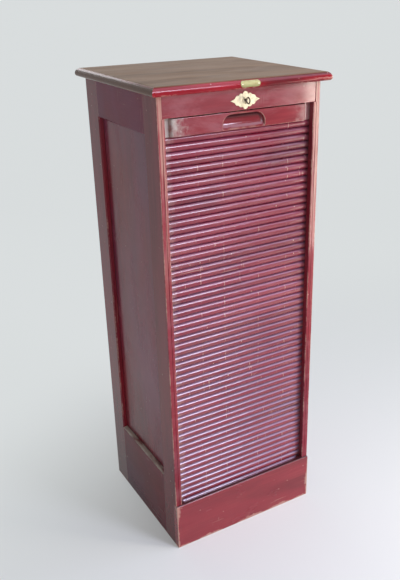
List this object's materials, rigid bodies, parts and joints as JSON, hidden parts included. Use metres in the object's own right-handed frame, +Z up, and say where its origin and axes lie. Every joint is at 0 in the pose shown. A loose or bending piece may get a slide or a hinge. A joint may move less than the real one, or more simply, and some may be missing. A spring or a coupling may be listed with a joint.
{
  "type": "tambour filing cabinet",
  "caption": "Tall narrow filing cabinet in red mahogany whose slatted shutter slides down in grooves behind the plinth, with a lockable lead rail and shelves inside.",
  "frame": {"origin": "on the floor, under the middle of the top board", "axes": "+X to the cabinet's right as seen from the front, +Y to its back, +Z up; the shutter faces -Y"},
  "size_m": [0.434, 0.4144, 1.134],
  "materials": {
    "case_mahogany": "glossy varnish",
    "shutter_mahogany": "glossy varnish",
    "inside_wood": "satin",
    "canvas": "matte",
    "brass": "polished",
    "steel": "satin"
  },
  "bodies": {
    "case": {"top_board": "case_mahogany", "lock_rail": "case_mahogany", "plinth_board": "case_mahogany", "plinth_blocks": "inside_wood", "bottom_board": "inside_wood", "false_back": "inside_wood", "bottom_cleats": "inside_wood", "shelf_cleats": "inside_wood", "cleat_screws": "steel", "corner_blocks": "inside_wood", "corner_block_screws": "steel", "back_bottom_rail": "case_mahogany", "back_mid_rail": "case_mahogany", "back_top_rail": "case_mahogany", "back_lower_panel": "case_mahogany", "back_upper_panel": "case_mahogany", "back_screws": "steel", "tambour_slats": "shutter_mahogany", "canvas_backing": "canvas", "lock_case": "steel", "lock_screws": "steel", "escutcheon": "brass", "escutcheon_pins": "brass", "label_plate": "brass", "label_pins": "brass", "left_front_stile": "case_mahogany", "left_rear_stile": "case_mahogany", "left_top_rail": "case_mahogany", "left_bottom_rail": "case_mahogany", "left_panel": "case_mahogany", "right_front_stile": "case_mahogany", "right_rear_stile": "case_mahogany", "right_top_rail": "case_mahogany", "right_bottom_rail": "case_mahogany", "right_panel": "case_mahogany", "shelf_1": "inside_wood", "shelf_2": "inside_wood", "shelf_3": "inside_wood", "shelf_4": "inside_wood", "shelf_5": "inside_wood"},
    "shutter_lead": {"lead_rail": "shutter_mahogany", "strike_plate": "brass", "strike_pins": "brass"},
    "turn_key": {"key": "steel"},
    "bolt": {"lock_bolt": "steel"}
  },
  "joints": [
    {"name": "tambour_slide", "type": "slide", "parent": "case", "child": "shutter_lead", "axis": [0, 0, -1], "range_m": [0, 0.902], "deforming": ["tambour_slats", "canvas_backing"]},
    {"name": "bolt_slide", "type": "slide", "parent": "case", "child": "bolt", "axis": [0, 0, -1], "range_m": [0, 0.008]},
    {"name": "key_turn", "type": "hinge", "parent": "case", "child": "turn_key", "pos_m": [0.005, -0.185, 1.0898], "axis": [0, 1, 0], "range_deg": [0, 90]}
  ],
  "couplings": [
    {"joint": "key_turn", "follows": "bolt_slide", "rad_per_m": 196.3}
  ]
}
